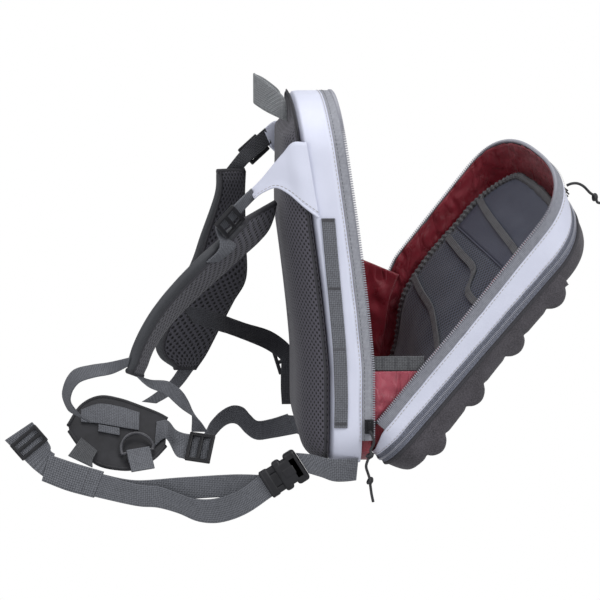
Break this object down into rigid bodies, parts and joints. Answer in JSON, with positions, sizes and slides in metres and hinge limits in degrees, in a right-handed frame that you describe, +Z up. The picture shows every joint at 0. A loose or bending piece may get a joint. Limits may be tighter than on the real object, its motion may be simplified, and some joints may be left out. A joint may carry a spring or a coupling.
{
  "type": "fly fishing chest pack",
  "caption": "Soft chest pack with an arched body, a moulded front lid folded down and open on a twist, and a padded shoulder and waist harness, hanging by its grab handle.",
  "frame": {"origin": "top edge of the grab handle's webbing, at the middle of its loop, where it hangs on a peg or a hand", "axes": "+Z up, +X across the pack to its far side, +Y from the open front to the wearer's back panel"},
  "size_m": [0.2551, 0.5929, 0.4346],
  "materials": {
    "coated_cloth": "bluish white coated cloth",
    "red_nylon": "shiny red nylon",
    "air_mesh": "dark spacer mesh",
    "zip_tape": "grey zip tape with coil teeth",
    "moulded_foam": "moulded foam under dark cloth",
    "grey_webbing": "woven grey webbing",
    "dark_webbing": "woven near-black webbing",
    "pocket_mesh": "dark blue mesh",
    "black_plastic": "moulded black plastic",
    "black_rubber": "matte black",
    "black_cord": "braided black cord",
    "black_steel": "black coated"
  },
  "bodies": {
    "pack": {"back_pad": "air_mesh", "belt_anchor_far": "grey_webbing", "belt_anchor_near": "grey_webbing", "body_lining": "red_nylon", "body_shell": "coated_cloth", "body_zip": "zip_tape", "buckle_plug": "black_plastic", "buckle_socket": "black_plastic", "cross_anchor": "grey_webbing", "cross_lock": "black_plastic", "cross_strap": "dark_webbing", "d_ring_loop": "grey_webbing", "edge_tab": "dark_webbing", "elastic_loop_lower": "grey_webbing", "elastic_loop_middle": "grey_webbing", "elastic_loop_upper": "grey_webbing", "elastic_strap": "grey_webbing", "far_gusset": "red_nylon", "front_cover": "moulded_foam", "front_zip": "zip_tape", "glide_strap": "grey_webbing", "grab_handle": "grey_webbing", "harness_plate": "black_rubber", "hinge_panel": "red_nylon", "lid_lining": "red_nylon", "lid_shell": "coated_cloth", "lid_zip": "zip_tape", "lower_lock": "black_plastic", "near_gusset": "red_nylon", "near_gusset_band": "grey_webbing", "pad_webbing_far": "dark_webbing", "pad_webbing_near_left": "grey_webbing", "pad_webbing_near_right": "grey_webbing", "plate_strap": "grey_webbing", "plate_webbing": "grey_webbing", "pocket_binding": "grey_webbing", "pocket_panel": "pocket_mesh", "pull_cord_bottom": "black_cord", "pull_cord_top": "black_cord", "shoulder_pad_far": "air_mesh", "shoulder_pad_near": "air_mesh", "side_webbing_far": "grey_webbing", "side_webbing_near": "grey_webbing", "slider_bottom": "black_steel", "slider_top": "black_steel", "strap_sleeve": "grey_webbing", "tri_glide": "black_plastic", "waist_strap_back": "grey_webbing", "waist_strap_far": "dark_webbing", "waist_strap_near": "grey_webbing", "yoke_far": "coated_cloth", "yoke_lock_far": "black_plastic", "yoke_lock_near": "black_plastic", "yoke_near": "coated_cloth", "yoke_webbing_far": "dark_webbing", "yoke_webbing_near": "grey_webbing"},
    "d_ring": {"d_ring": "black_steel"}
  },
  "joints": [
    {"name": "d_ring_swing", "type": "hinge", "parent": "pack", "child": "d_ring", "pos_m": [-0.02046, 0.11875, -0.3601], "axis": [0.1453, -0.981, 0.1282], "range_deg": [0, 110]}
  ]
}
